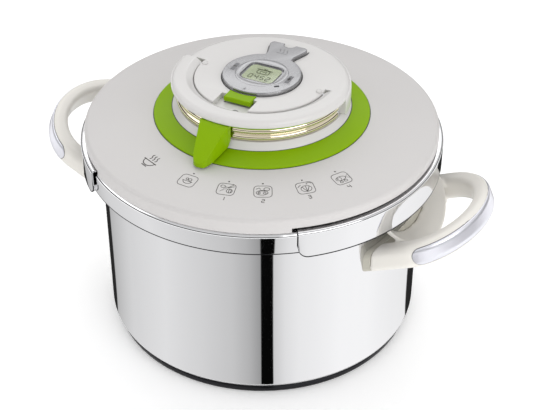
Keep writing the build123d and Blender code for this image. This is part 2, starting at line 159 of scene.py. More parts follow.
MIRROR_STEEL = Finish("mirror_steel", "polished_steel", (0.84, 0.84, 0.85), (0.80, 0.80, 0.815),
                      0.045, 0.015, Grain.POLISHED, metallic=1.0, stretch=(1.0, 1.0, 0.15))
# Near-black steel: painted shade and dark reflection, for the base where it meets the floor and for thin
# lines under steel rims.
SHADE_DARKENED_STEEL = Finish("steel_painted_dark_for_shade", "base_steel", (0.035, 0.035, 0.038), (0.025, 0.025, 0.028),
                    0.30, 0.06, Grain.SATIN, metallic=1.0, stretch=(1.0, 1.0, 4.0))
SATIN_STEEL = Finish("satin_steel", "polished_steel", (0.70, 0.70, 0.71), (0.66, 0.66, 0.67),
                     0.34, 0.06, Grain.SATIN, metallic=1.0, stretch=(1.0, 1.0, 0.2))
PLAIN_STEEL = Finish("turned_steel", "plain_steel", (0.62, 0.62, 0.63), (0.55, 0.55, 0.57),
                     0.26, 0.08, Grain.SATIN, metallic=1.0)
WHITE = Finish("white_lid_plastic", "white_plastic", (0.60, 0.583, 0.575), (0.59, 0.573, 0.565),
               0.42, 0.03, Grain.MOULDED, coat=0.1)
KNOB_WHITE = Finish("white_knob_plastic", "white_plastic", (0.66, 0.647, 0.635), (0.65, 0.637, 0.625),
                    0.26, 0.03, Grain.MOULDED, coat=0.2)
CREAM = Finish("cream_handle_plastic", "cream_plastic", (0.80, 0.775, 0.725), (0.785, 0.76, 0.705),
               0.30, 0.04, Grain.MOULDED, coat=0.12)
BEIGE = Finish("dull_pad_plastic", "pad_plastic", (0.52, 0.50, 0.43), (0.49, 0.47, 0.40),
               0.55, 0.06, Grain.DULL)
GREEN = Finish("leaf_green_lacquer", "green_plastic", (0.235, 0.415, 0.0006), (0.225, 0.40, 0.0006),
               0.34, 0.04, Grain.MOULDED, specular=0.12)
SILVER_INSERT = Finish("satin_silver_paint", "silver_insert", (0.82, 0.82, 0.88), (0.80, 0.80, 0.86),
                       0.30, 0.04, Grain.SATIN, metallic=0.7, coat=0.3)
GOLD = Finish("warm_chrome", "gold_chrome", (0.88, 0.80, 0.60), (0.86, 0.78, 0.57),
              0.06, 0.02, Grain.POLISHED, metallic=1.0)
SILVER = Finish("silver_lacquer", "silver_plastic", (0.40, 0.40, 0.41), (0.38, 0.38, 0.39),
                0.26, 0.05, Grain.SATIN, metallic=0.85, coat=0.25)
# Matt black for the timer's back; the thin rings and lines drawn with it elsewhere are painted shade in
# gaps, a groove and the reset slot.
DARK = Finish("black_plastic_and_painted_gap_shade", "dark_plastic", (0.05, 0.05, 0.055), (0.035, 0.035, 0.04),
              0.45, 0.05, Grain.DULL)
CRYSTAL = Finish("liquid_crystal", "display", (0.60, 0.67, 0.40), (0.58, 0.65, 0.38),
                 0.40, 0.04, Grain.PRINTED, coat=0.2)
LENS = Finish("clear_lens", "lens_glass", (0.97, 0.99, 0.95), (0.96, 0.98, 0.94),
              0.03, 0.01, Grain.PRINTED, clear=1.0)
SEAL = Finish("grey_silicone", "seal_rubber", (0.34, 0.34, 0.35), (0.29, 0.29, 0.30),
              0.55, 0.06, Grain.DULL)
INK = Finish("grey_print", "dark_plastic", (0.085, 0.08, 0.075), (0.07, 0.065, 0.06),
             0.5, 0.05, Grain.PRINTED)
DIGIT_INK = Finish("display_ink", "dark_plastic", (0.13, 0.16, 0.07), (0.11, 0.14, 0.06),
                   0.5, 0.05, Grain.PRINTED)
# Dark grey for engraved marks and keys, and also painted shade in the gap round the grip inserts.
ENGRAVED_AND_GAP_SHADE = Finish("engraved_grey_and_painted_gap_shade", "dark_plastic", (0.20, 0.20, 0.21), (0.17, 0.17, 0.18),
                  0.5, 0.05, Grain.PRINTED)


# ------------------------------------------------------------------ surfaces
def weave(rows: int, cols: int, loop_rows: bool, loop_cols: bool) -> np.ndarray:
    """Return the quads of a grid of points stored row by row.

    Args:
        rows: points along the first parameter.
        cols: points along the second parameter.
        loop_rows: the last row joins the first.
        loop_cols: the last column joins the first.

    Returns:
        An (n, 4) array of point numbers.
    """
    first = np.arange(rows if loop_rows else rows - 1)
    second = np.arange(cols if loop_cols else cols - 1)
    a, b = np.meshgrid(first, second, indexing="ij")
    n, m = (a + 1) % rows, (b + 1) % cols
    return np.stack([a * cols + b, n * cols + b, n * cols + m, a * cols + m], -1).reshape(-1, 4)


def sheet(points: np.ndarray, loop_rows: bool, loop_cols: bool, capped: bool = False) -> Surface:
    """Return a grid of points as a surface.

    Args:
        points: (rows, cols, n) array.
        loop_rows: the last row joins the first.
        loop_cols: the last column joins the first.
        capped: the first and last rows are closed with a face each.

    Returns:
        Points and blocks of faces.
    """
    rows, cols = points.shape[:2]
    blocks = [weave(rows, cols, loop_rows, loop_cols)]
    if capped:
        blocks.append(np.stack([np.arange(cols), np.arange((rows - 1) * cols, rows * cols)]))
    return points.reshape(rows * cols, -1), blocks


def rounded(points: list[Place], radii: dict[int, float], steps: int = 7) -> np.ndarray:
    """Return a closed outline with arcs at some corners.

    At a corner the arc touches both sides at radius over the tangent of half the corner's
    angle, and its points turn evenly about a centre on the bisector.

    Args:
        points: corners of the outline.
        radii: radius of each corner that is rounded.
        steps: points on each arc.

    Returns:
        An (n, 2) array.
    """
    corners = np.array(points, float)
    out = []
    for i, corner in enumerate(corners):
        radius = radii.get(i, 0.0)
        if radius == 0.0:
            out.append(corner[None])
            continue
        back = corners[i - 1] - corner
        ahead = corners[(i + 1) % len(corners)] - corner
        back, ahead = back / np.linalg.norm(back), ahead / np.linalg.norm(ahead)
        half = math.acos(float(np.clip(back @ ahead, -1, 1))) / 2
        middle = (back + ahead) / np.linalg.norm(back + ahead)
        centre = corner + middle * radius / math.sin(half)
        start = corner + back * radius / math.tan(half) - centre
        end = corner + ahead * radius / math.tan(half) - centre
        a0, a1 = math.atan2(start[1], start[0]), math.atan2(end[1], end[0])
        sweep = (a1 - a0 + math.pi) % (2 * math.pi) - math.pi
        angle = a0 + sweep * np.linspace(0, 1, steps)
        out.append(centre + radius * np.stack([np.cos(angle), np.sin(angle)], -1))
    return np.concatenate(out)


def turn_angles(start: float, end: float, count: int) -> np.ndarray:
    """Return angles in degrees; a full turn leaves out its last, repeated one."""
    full = abs(end - start) >= FULL_TURN
    return np.linspace(start, end, count, endpoint=not full)


def lathe(outline: np.ndarray, angles: np.ndarray, lift: np.ndarray | float = 0.0) -> Surface:
    """Carry a (radius, height) outline round the Z axis.

    The point at angle a and outline place (r, z) is (r cos a, r sin a, z + lift).

    Args:
        outline: closed outline, (n, 2).
        angles: degrees, (m,).
        lift: extra height of each point, (m, n).

    Returns:
        The surface; a part turn is closed at its ends.
    """
    turn = np.radians(angles)[:, None]
    z = outline[:, 1] + lift + 0 * turn
    points = np.stack([outline[:, 0] * np.cos(turn), outline[:, 0] * np.sin(turn), z], -1)
    step = abs(angles[1] - angles[0])
    full = abs(abs(angles[-1] - angles[0]) + step - FULL_TURN) < 0.01
    return sheet(points, full, True, not full)


def joined(*parts: Surface) -> Surface:
    """Put several surfaces into one.

    Args:
        parts: the surfaces.

    Returns:
        All points and blocks of faces together.
    """
    blocks, count = [], 0
    for points, faces in parts:
        blocks += [block + count for block in faces]
        count += len(points)
    return np.concatenate([points for points, _ in parts]), blocks


def moved(surface: Surface, turn: Triple | float = 1.0, shift: Triple | float = 0.0) -> Surface:
    """Return a surface with its points multiplied by turn and moved by shift."""
    return surface[0] * np.array(turn) + np.array(shift), surface[1]


def stand(name: str, data: bpy.types.ID) -> bpy.types.Object:
    """Return a new object in the scene."""
    made = bpy.data.objects.new(name, data)
    bpy.context.scene.collection.objects.link(made)
    return made


def modify(piece: bpy.types.Object, name: str, kind: str, **settings: float | str | bool) -> None:
    """Add a modifier.

    Args:
        piece: the object.
        name: the modifier's name.
        kind: its type.
        settings: its properties by name.
    """
    modifier = piece.modifiers.new(name, kind)
    for key, value in settings.items():
        setattr(modifier, key, value)


def make_piece(name: str, surface: Surface, finish: Finish, body: str,
               stands_for: tuple[str, ...] = (), sharp: float = 34.0) -> bpy.types.Object:
    """Make an object from a surface in millimetres, dress it and ride it on a body.

    Args:
        name: object name.
        surface: its surface.
        finish: its finish.
        body: the body that carries it.
        stands_for: nodes that it replaces.
        sharp: edges that turn more than this many degrees stay crisp.

    Returns:
        The new object.
    """
    mesh = bpy.data.meshes.new(name)
    points, blocks = surface
    mesh.from_pydata((points * MM).tolist(), [], sum((block.tolist() for block in blocks), []))
    settle(mesh, sharp)
    return dress(name, mesh, finish, body, stands_for)


def settle(mesh: bpy.types.Mesh, sharp: float) -> None:
    """Merge doubled points, turn the faces outward and shade smooth up to an angle."""
    work = bmesh.new()
    work.from_mesh(mesh)
    bmesh.ops.remove_doubles(work, verts=work.verts, dist=2e-6)
    bmesh.ops.dissolve_degenerate(work, edges=work.edges, dist=1e-7)
    bmesh.ops.recalc_face_normals(work, faces=work.faces)
    work.to_mesh(mesh)
    work.free()
    mesh.shade_smooth()
    mesh.set_sharp_from_angle(angle=math.radians(sharp))


def dress(name: str, mesh: bpy.types.Mesh, finish: Finish, body: str,
          stands_for: tuple[str, ...]) -> bpy.types.Object:
    """Give a mesh its object, material and body.

    Args:
        name: object name.
        mesh: its mesh in metres.
        finish: its finish.
        body: the body that carries it.
        stands_for: nodes that it replaces.

    Returns:
        The new object.
    """
    mesh.materials.append(finish.material())
    piece = stand(name, mesh)
    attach(piece, body)
    if stands_for:
        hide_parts(*stands_for)
    LOG.info("%s: %d faces on %s", name, len(mesh.polygons), body)
    return piece


def moulding(node: str, body: str, finish: Finish, edge: float = 0.3,
             sharp: float = 28.0) -> bpy.types.Object:
    """Stand a merged copy of a node in for it, with its crisp edges broken.

    Args:
        node: the node that is copied and replaced.
        body: the body that carries it.
        finish: its finish.
        edge: width of the bevel in millimetres.
        sharp: edges that turn more than this many degrees are bevelled.

    Returns:
        The new object.
    """
    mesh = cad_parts[node].data.copy()
    mesh.materials.clear()
    mesh.transform(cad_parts[node].matrix_world)
    work = bmesh.new()
    work.from_mesh(mesh)
    bmesh.ops.remove_doubles(work, verts=work.verts, dist=5e-6)
    bmesh.ops.dissolve_limit(work, angle_limit=math.radians(1.0), verts=work.verts, edges=work.edges)
    work.to_mesh(mesh)
    work.free()
    mesh.shade_smooth()
    mesh.set_sharp_from_angle(angle=math.radians(sharp))
    piece = dress(f"moulded_{node}", mesh, finish, body, (node,))
    if edge:
        modify(piece, "broken_edges", "BEVEL", width=edge * MM, segments=2, limit_method="ANGLE",
               angle_limit=math.radians(sharp), harden_normals=True)
    return piece


def both_sides(side: str, surface: Surface) -> Surface:
    """Return a surface of the right side, turned half round for the left one."""
    return moved(surface, (-1.0, -1.0, 1.0)) if side == "left" else surface


# ------------------------------------------------------------------ pot
@dataclass
class Pot:
    """The mirror polished pot and its thermal base."""

    radius: float = 121.0
    wall: float = 1.2
    base: float = 6.0
    corner: float = 8.0
    rim: float = 152.0
    flange: float = 129.5
    turns: int = 320

    def build(self) -> None:
        """Make the shell and the base disc."""
        under = self.rim - self.wall
        outline = rounded(
            [(0, self.base), (self.radius, self.base), (self.radius, self.rim - 7.5),
             (self.radius + 4.2, under), (self.flange, under), (self.flange, self.rim),
             (self.radius + 3.4, self.rim), (self.radius - self.wall, self.rim - 7.0),
             (self.radius - self.wall, self.base + self.wall), (0, self.base + self.wall)],
            {1: self.corner, 8: self.corner - self.wall, 2: 3.0, 3: 2.5, 6: 3.0, 7: 2.5}, 12)
        angles = turn_angles(0, FULL_TURN, self.turns)
        shell = make_piece("polished_pot", lathe(outline, angles), MIRROR_STEEL, "pot", ("pot_shell",), 60)
        self.satin_inside(shell.data)
        disc = self.radius - 3.7
        edge = rounded([(0, 0), (disc, 0), (disc, self.base - 0.02), (0, self.base - 0.02)],
                       {1: 2.8, 2: 1.2}, 8)
        # The base disc is painted near-black: painted shade and dark reflection where the pot stands on the
        # floor.
        make_piece("thermal_base", lathe(edge, angles), SHADE_DARKENED_STEEL, "pot", ("pot_base",), 60)

    def satin_inside(self, mesh: bpy.types.Mesh) -> None:
        """Give the faces inside the wall and above the floor a satin finish.

        Args:
            mesh: the pot's mesh in metres.
        """
        mesh.materials.append(SATIN_STEEL.material())
        centre = np.empty(len(mesh.polygons) * 3)
        mesh.polygons.foreach_get("center", centre)
        x, y, z = centre.reshape(-1, 3).T / MM
        inside = (np.hypot(x, y) < self.radius - 0.6) & (z > self.base + 0.6) & (z < self.rim - 6.0)
        mesh.polygons.foreach_set("material_index", inside.astype(np.int32))


@dataclass
class SideHandle:
    """A sloping loop handle with its finger guard, back pad and satin insert."""

    side: str
    origin_x: float = 107.0
    origin_z: float = 106.2
    slope: float = 25.0
    depth: float = 18.3
    arm_end: float = 34.0
    outer: Place = (44.7, 55.6)
    inner: Place = (33.0, 41.0)
    outer_round: float = 6.0
    inner_round: float = 4.6
    back: float = 126.02
    guard_x: float = 120.0
    guard_half: float = 43.0
    guard_curve: Place = (24.5, 46.0)
    dish_centre: Place = (155.0, 185.0)
    dish_radii: Place = (75.0, 78.0)
    web_u: tuple[float, ...] = (15.0, 27.0, 27.0, 15.0)
    web_w: tuple[float, ...] = (-11.1, -11.1, -6.0, -4.0)
    insert_start: float = 48.0
    insert_depth: float = 12.6

    def lay(self, u: np.ndarray, v: np.ndarray, w: np.ndarray) -> np.ndarray:
        """Turn points of the sloping handle frame into the part's frame."""
        slope = math.radians(self.slope)
        x = self.origin_x + u * math.cos(slope) - w * math.sin(slope)
        z = self.origin_z + u * math.sin(slope) + w * math.cos(slope)
        return np.stack([x, v, z], -1)

    def section(self) -> np.ndarray:
        """Return the grip's section as (share of width, height), closed."""
        width = self.outer[1] - self.inner[1]
        half = self.depth / 2
        outline = rounded([(0, -half), (width, -half), (width, half), (0, half)],
                          {0: self.inner_round, 1: self.outer_round, 2: self.outer_round,
                           3: self.inner_round}, 8)
        outline[:, 0] /= width
        return outline

    def loop(self) -> Surface:
        """Return the loop: a section carried along one arm, round an ellipse and back.

        On the arms the section runs straight from the pad's cylinder; round the end the
        inner and outer edges follow two ellipses that share a centre.
        """
        section = self.section()
        share, w = section[:, 0][None], section[:, 1][None]
        slope = math.radians(self.slope)
        along = np.linspace(0, 1, 14)[:-1, None]
        v_arm = self.inner[1] + share * (self.outer[1] - self.inner[1])
        reach = np.sqrt(self.back ** 2 - v_arm ** 2) - self.origin_x
        start = (reach + w * math.sin(slope)) / math.cos(slope)
        u_arm = start + (self.arm_end - start) * along
        turn = np.radians(np.linspace(-90, 90, 73))[:, None]
        a = self.inner[0] + share * (self.outer[0] - self.inner[0])
        b = self.inner[1] + share * (self.outer[1] - self.inner[1])
        u_end, v_end = self.arm_end + a * np.cos(turn), b * np.sin(turn)
        u = np.concatenate([u_arm, u_end, u_arm[::-1]])
        v = np.concatenate([np.repeat(-v_arm, len(along), 0), v_end, np.repeat(v_arm, len(along), 0)])
        return sheet(self.lay(u, v, w + 0 * u), False, True, True)

    def guard(self) -> Surface:
        """Return the finger guard, a piece of a spherical dish between the arms.

        Its height is the dish centre's less the root of R squared minus the squared
        distance from that centre. R is the first radius above and the second below.
        """
        steps = 14
        across = np.linspace(-self.guard_half, self.guard_half, 41)[:, None]
        near = np.sqrt(self.back ** 2 - across ** 2)
        far = self.guard_x + self.guard_curve[0] * np.sqrt(1 - (across / self.guard_curve[1]) ** 2)
        share = np.concatenate([np.linspace(0, 1, steps), np.linspace(1, 0, steps)])
        x = near + (far - near) * share
        drop = np.sqrt(np.repeat(self.dish_radii, steps) ** 2 - (x - self.dish_centre[0]) ** 2 - across ** 2)
        return sheet(np.stack([x, across + 0 * x, self.dish_centre[1] - drop], -1), False, True, True)

    def web(self) -> Surface:
        """Return the plain block under the guard that takes the bracket's screw."""
        v = np.array([[-self.guard_half], [self.guard_half]])
        u, w = np.array(self.web_u) + 0 * v, np.array(self.web_w) + 0 * v
        return sheet(self.lay(u, v + 0 * u, w), False, True, True)

    def insert(self, margin: float, proud: float) -> Surface:
        """Return a round-ended band laid on the grip's outer wall.

        Along the ellipse the band's half height is constant, and near each end it falls
        as a circle. Its surface stands proud of the grip and sinks where the grip rounds.

        Args:
            margin: how much wider the band is than the insert.
            proud: how far it stands off the grip.

        Returns:
            An open surface.
        """
        half = self.insert_depth / 2 + margin
        first = math.degrees(math.acos((self.insert_start - half - self.arm_end) / self.outer[0]))
        ease = np.linspace(-1, 1, 97)
        turn = np.radians(first * np.sin(ease * math.pi / 2))[:, None]
        u = self.arm_end + self.outer[0] * np.cos(turn)
        fall = np.clip(self.insert_start - u, 0, half)
        w = np.sqrt(np.clip(half ** 2 - fall ** 2, 0, None)) * np.linspace(-1, 1, 17)[None]
        flat = self.depth / 2 - self.outer_round
        over = np.clip(np.abs(w) - flat, 0, self.outer_round)
        sink = self.outer_round - np.sqrt(self.outer_round ** 2 - over ** 2)
        nu, nv = np.cos(turn) / self.outer[0], np.sin(turn) / self.outer[1]
        size = np.hypot(nu, nv)
        out = proud - sink
        u = u + out * nu / size
        v = self.outer[1] * np.sin(turn) + out * nv / size
        return sheet(self.lay(u + 0 * w, v + 0 * w, w), False, False)

    def build(self) -> None:
        """Make the handle's pieces."""
        body = both_sides(self.side, joined(self.loop(), self.guard(), self.web()))
        grip = make_piece(f"grip_{self.side}", body, CREAM, "pot", (f"handle_{self.side}",), 180)
        modify(grip, "one_skin", "REMESH", mode="VOXEL", voxel_size=0.9 * MM, use_smooth_shade=True)
        modify(grip, "soft_joins", "SMOOTH", factor=0.5, iterations=5)
        # A dark band just wider than the insert, under it: painted shade in the gap round the insert.
        gap_shade = both_sides(self.side, self.insert(0.45, 0.12))
        gap_shade = make_piece(f"insert_painted_gap_shade_{self.side}", gap_shade, ENGRAVED_AND_GAP_SHADE, "pot", (), 180)
        modify(gap_shade, "thickness", "SOLIDIFY", thickness=0.5 * MM)
        band = make_piece(f"grip_insert_{self.side}", both_sides(self.side, self.insert(0.0, 0.30)),
                          SILVER_INSERT, "pot", (f"handle_insert_{self.side}",), 180)
        modify(band, "thickness", "SOLIDIFY", thickness=0.9 * MM, offset=-1.0)
        moulding(f"handle_pad_{self.side}", "pot", BEIGE, 0.5)


# ------------------------------------------------------------------ lid
@dataclass
class Lid:
    """Steel lid, domed cover, trim ring and the two clamping jaws."""

    skirt: float = 132.79
    skirt_low: float = 142.5
    top: float = 158.4
    wall: float = 1.2
    cover: float = 131.8
    cover_thick: float = 2.6
    shoulder: float = 169.9
    jaw_room: float = 162.3
    trim: float = 80.0
    trim_in: float = 66.2
    trim_z: float = 176.0
    trim_top: float = 182.0
    jaw: float = 135.3
    jaw_low: float = 139.5
    jaw_top: float = 160.3
    jaw_half: float = 52.8
    jaw_corner: float = 8.0
    turns: int = 360

    def dome(self, radius: np.ndarray) -> np.ndarray:
        """Return the cover's outer height: a parabola from the shoulder to the trim."""
        share = (self.cover - radius) / (self.cover - self.trim)
        return self.shoulder + (self.trim_z - self.shoulder) * (1.25 * share - 0.25 * share ** 2)

    def build(self) -> None:
        """Make the lid's pieces."""
        angles = turn_angles(0, FULL_TURN, self.turns)
        inner = self.skirt - self.wall
        shell = rounded([(0, self.top - self.wall), (inner, self.top - self.wall), (inner, self.skirt_low),
                         (self.skirt, self.skirt_low), (self.skirt, self.top), (0, self.top)],
                        {1: 1.8, 2: 0.4, 3: 0.5, 4: 3.0}, 8)
        make_piece("steel_lid", lathe(shell, angles), MIRROR_STEEL, "lid", ("lid_shell",), 60)
        # A dark ring under the skirt's lower edge: a painted shade line.
        make_piece("skirt_painted_shade_line", lathe(self.hem(self.skirt, self.skirt_low, 0.7), angles), SHADE_DARKENED_STEEL, "lid")
        self.build_cover()
        ride = self.trim_z + 1.4 * (self.trim - self.trim_in) / 16.0
        ring = rounded([(self.trim, self.trim_z + 0.02), (self.trim, self.trim_z + 0.9),
                        (self.trim - 1.0, self.trim_z + 1.4), (self.trim_in + 0.6, self.trim_top),
                        (self.trim_in, self.trim_top), (self.trim_in, ride + 0.02)],
                       {1: 0.35, 2: 0.6, 3: 0.4}, 6)
        make_piece("green_trim", lathe(ring, angles), GREEN, "lid", ("trim_ring",), 50)
        shoulder = float(self.dome(np.array(self.trim + 0.4)))
        # Thin dark rings at the trim's outer edge and at its foot: painted shade in the gaps between the
        # parts.
        for name, near, far, low, high in (
                ("trim_painted_gap_shade", self.trim + 0.02, self.trim + 0.6, shoulder - 0.3, shoulder + 0.06),
                ("foot_painted_gap_shade", self.trim_in - 0.01, self.trim_in + 0.5,
                 self.trim_top - 0.3, self.trim_top + 0.05)):
            shade_ring = np.array([(near, low), (far, low), (far, high), (near, high)])
            make_piece(name, lathe(shade_ring, angles), DARK, "lid", (), 50)
        for side in ("right", "left"):
            self.build_jaw(side)

    @staticmethod
    def hem(radius: float, low: float, depth: float) -> np.ndarray:
        """Return the outline of a thin ring of painted shade that hangs under a steel rim.

        Args:
            radius: outer radius of the rim.
            low: height of the rim's lower edge.
            depth: how far the painted shade line shows below it.

        Returns:
            A closed outline.
        """
        inner, outer = radius - 1.0, radius - 0.1
        return rounded([(inner, low - depth), (outer, low - depth), (outer, low + 0.2), (inner, low + 0.2)],
                       {1: 0.2})

    def build_cover(self) -> None:
        """Make the domed cover, whose hanging rim is cut back above the jaws."""
        low = self.top + 0.1
        inner = self.cover - self.cover_thick
        radius = np.linspace(127.0, self.trim, 16)
        outer = [(float(r), float(z)) for r, z in zip(radius, self.dome(radius))]
        under = [(r if i < 15 else inner - 4.0, z - self.cover_thick)
                 for i, (r, z) in enumerate(outer[::-1])]
        corners = [(self.cover, low), (self.cover, self.shoulder), *outer, (64.0, self.trim_z + 1.4),
                   (64.0, self.trim_z + 1.4 - self.cover_thick), *under,
                   (inner, self.shoulder - self.cover_thick), (inner, low)]
        outline = rounded(corners, {0: 0.5, 1: 3.6, len(corners) - 2: 1.5, len(corners) - 1: 0.4}, 9)
        ends = self.jaw_half + 1.7
        step = 0.02
        breaks = np.array([m + s * ends + d for m in (0.0, 180.0) for s in (-1, 1) for d in (-step, step)])
        angles = np.sort(np.concatenate([np.arange(0.5, 360.0, 1.0), breaks % FULL_TURN]))
        off_axis = np.abs((angles + 90.0) % 180.0 - 90.0)
        notch = (off_axis < ends)[:, None]
        hanging = (outline[:, 1] < self.jaw_room)[None]
        lift = np.where(notch & hanging, self.jaw_room - outline[:, 1], 0.0)
        make_piece("white_cover", lathe(outline, angles, lift), WHITE, "lid", ("lid_cover",), 40)

    def build_jaw(self, side: str) -> None:
        """Make one jaw: a channel round part of the rim, its lower corners rounded.

        Near each end the lower edge rises as a quarter circle.

        Args:
            side: right or left.
        """
        outline = rounded(
            [(118.0, self.jaw_top), (self.jaw, self.jaw_top), (self.jaw, self.jaw_low),
             (130.0, self.jaw_low), (130.0, self.jaw_low + 1.4), (self.jaw - 1.2, self.jaw_low + 1.4),
             (self.jaw - 1.2, self.jaw_top - 1.2), (118.0, self.jaw_top - 1.2)],
            {1: 2.2, 2: 0.9, 3: 0.5, 4: 0.4, 6: 0.9}, 7)
        ease = np.linspace(-1, 1, 181)
        angles = self.jaw_half * np.sin(ease * math.pi / 2)
        corner = self.jaw_corner
        left = np.clip(corner - (self.jaw_half - np.abs(angles)) * math.radians(1) * self.jaw, 0, corner)
        rise = (corner - np.sqrt(np.clip(corner ** 2 - left ** 2, 0, None)))[:, None]
        lowness = np.clip((self.jaw_top - 4.0 - outline[:, 1]) / (self.jaw_top - 4.0 - self.jaw_low), 0, 1)
        turned = angles + (180.0 if side == "left" else 0.0)
        # A dark strip under the jaw's lower edge: a painted shade line.
        hem = lathe(self.hem(self.jaw, self.jaw_low, 0.55), turned, rise)
        make_piece(f"jaw_painted_shade_line_{side}", hem, SHADE_DARKENED_STEEL, f"jaw_{side}")
        piece = make_piece(f"steel_jaw_{side}", lathe(outline, turned, rise * lowness), MIRROR_STEEL,
                           f"jaw_{side}", (f"jaw_{side}",), 50)
        modify(piece, "broken_edges", "BEVEL", width=0.35 * MM, segments=2, limit_method="ANGLE",
               angle_limit=math.radians(50))


# ------------------------------------------------------------------ knob
@dataclass
class Knob:
    """Column, chrome band, cap, bail, selector and release button."""

    foot: float = 66.15
    column: float = 60.5
    band: float = 63.0
    band_low: float = 187.2
    band_top: float = 197.8
    deck: float = 198.0
    bail_in: float = 50.2
    bail_out: float = 66.5
    bail_low: float = 200.0
    bail_top: float = 206.0
    axis_y: float = -1.5
    axis_z: float = 202.2
    bail_end: float = 2.2
    indicator: Place = (2.6, -47.6)
    ear_x: float = 46.6
    ear_low: float = 204.1
    ear: Place = (2.3, 1.5)

    def build(self) -> None:
        """Make the knob's pieces."""
        angles = turn_angles(0, FULL_TURN, 240)
        column = rounded([(57.5, 178.0), (64.0, 177.45), (self.foot, 177.25), (self.foot, 182.4),
                          (62.6, self.band_low - 0.2), (self.column, self.band_low - 0.2),
                          (self.column, self.deck), (0, self.deck), (0, self.deck - 2.5),
                          (57.5, self.deck - 2.5)], {3: 0.9, 4: 0.8, 6: 0.5}, 6)
        make_piece("knob_column", lathe(column, angles), KNOB_WHITE, "lid", ("knob_base",), 50)
        self.build_band()
        self.build_bail()
        moulding("knob_cap", "lid", KNOB_WHITE, 0.5)
        moulding("selector", "selector", GREEN, 0.7)
        moulding("release_button", "button", GREEN, 0.35)
        self.build_ears()
        collar = rounded([(2.1, 199.9), (2.6, 199.9), (2.6, 200.5), (2.1, 200.5)], {2: 0.3, 3: 0.2}, 5)
        collar = moved(lathe(collar, turn_angles(0, FULL_TURN, 48)), 1.0, (*self.indicator, 0.0))
        make_piece("indicator_collar", collar, SILVER, "lid")

    def build_band(self) -> None:
        """Make the chrome band: two round lobes with a groove between them.

        Its section bulges as a flattened half circle over each half of the height.
        """
        inner = self.column + 0.05
        height = self.band_top - self.band_low
        t = np.linspace(0, 1, 46)
        lobe = np.abs(np.sin(2 * math.pi * t)) ** 0.6
        bulge = self.band - 1.9 + 1.9 * lobe
        outer = np.stack([bulge, self.band_low + height * t], -1)
        outline = np.concatenate([outer, [[inner, self.band_top], [inner, self.band_low]]])
        angles = np.linspace(-177.0, -3.0, 200)
        make_piece("chrome_band", lathe(outline, angles), GOLD, "lid", ("knob_band",), 60)
        # A dark ring in the groove between the lobes: painted shade in the groove.
        middle = (self.band_low + self.band_top) / 2
        shade_ring = np.array([(60.9, middle - 0.45), (61.45, middle - 0.45), (61.45, middle + 0.45),
                         (60.9, middle + 0.45)])
        make_piece("band_groove_painted_shade", lathe(shade_ring, angles), DARK, "lid", (), 50)

    def build_bail(self) -> None:
        """Make the bail: a half ring whose ends run past its pins and round off.

        Behind the pins each point lies no further back than a circle about the pin.
        """
        section = rounded([(self.bail_in, self.bail_low), (self.bail_out, self.bail_low),
                           (self.bail_out, self.bail_top), (self.bail_in + 5.2, self.bail_top),
                           (self.bail_in, self.bail_top - 3.2)],
                          {0: 0.5, 1: 0.9, 2: 4.2, 3: 2.5, 4: 0.8}, 9)
        angles = np.linspace(-180.0, 0.0, 150)
        points = lathe(section, angles)[0].reshape(len(angles), -1, 3)
        reach = self.axis_y + self.bail_end
        tails = np.linspace(0.15, 1, 6)[:, None, None] * np.array([0.0, reach, 0.0])
        points = np.concatenate([(points[:1] + tails)[::-1], points, points[-1:] + tails])
        drop = np.clip(self.axis_z - points[..., 2], 0, None)
        limit = np.where(drop > 0, self.axis_y + np.sqrt(np.clip(self.bail_end ** 2 - drop ** 2, 0, None)),
                         reach)
        points[..., 1] = np.minimum(points[..., 1], limit)
        make_piece("carrying_bail", sheet(points, False, True, True), KNOB_WHITE, "bail", ("bail",), 40)

    def build_ears(self) -> None:
        """Make the two small domes on the cap where the bail is hinged."""
        t = np.linspace(0, math.pi / 2, 9)
        outline = np.stack([self.ear[0] * np.sin(t[::-1]), self.ear[1] * np.cos(t[::-1])], -1)
        outline = np.concatenate([outline, [[0.0, -0.4], [self.ear[0], -0.4]]])
        dome = lathe(outline, turn_angles(0, FULL_TURN, 32))
        pair = [moved(dome, 1.0, (x, self.axis_y, self.ear_low)) for x in (self.ear_x, -self.ear_x)]
        make_piece("hinge_ears", joined(*pair), KNOB_WHITE, "lid")


# ------------------------------------------------------------------ marks
def arc(x: float, y: float, rx: float, ry: float, start: float, end: float) -> np.ndarray:
    """Return points of an elliptic arc; angles are in degrees."""
    t = np.radians(np.linspace(start, end, 73 if rx > 9 else 21))
    return np.stack([x + rx * np.cos(t), y + ry * np.sin(t)], -1)


def line(*points: Place) -> np.ndarray:
    """Return a plain stroke through some points."""
    return np.array(points, float)


def box_stroke(width: float, height: float, corner: float) -> np.ndarray:
    """Return a closed rounded box about the origin."""
    a, b = width / 2, height / 2
    outline = rounded([(-a, -b), (a, -b), (a, b), (-a, b)], {i: corner for i in range(4)}, 5)
    return np.concatenate([outline, outline[:1]])


def ribbon(stroke: np.ndarray, width: float) -> Surface:
    """Return a flat ribbon along a stroke.

    Each point moves half the width either way across the mean direction of its two sides.

    Args:
        stroke: (n, 2) points.
        width: width of the line.

    Returns:
        The flat surface, (2n, 2).
    """
    ahead = np.diff(stroke, axis=0)
    ahead = ahead / np.maximum(np.linalg.norm(ahead, axis=1, keepdims=True), 1e-9)
    closed = np.allclose(stroke[0], stroke[-1])
    first = ahead[-1:] if closed else ahead[:1]
    last = ahead[:1] if closed else ahead[-1:]
    mean = np.concatenate([first, ahead]) + np.concatenate([ahead, last])
    mean = mean / np.maximum(np.linalg.norm(mean, axis=1, keepdims=True), 1e-9)
    across = np.stack([-mean[:, 1], mean[:, 0]], -1) * width / 2
    return sheet(np.stack([stroke + across, stroke - across], 1), False, False)


def drawing(strokes: list[np.ndarray], width: float) -> Surface:
    """Return the ribbons of several strokes as one flat surface."""
    return joined(*[ribbon(stroke, width) for stroke in strokes])


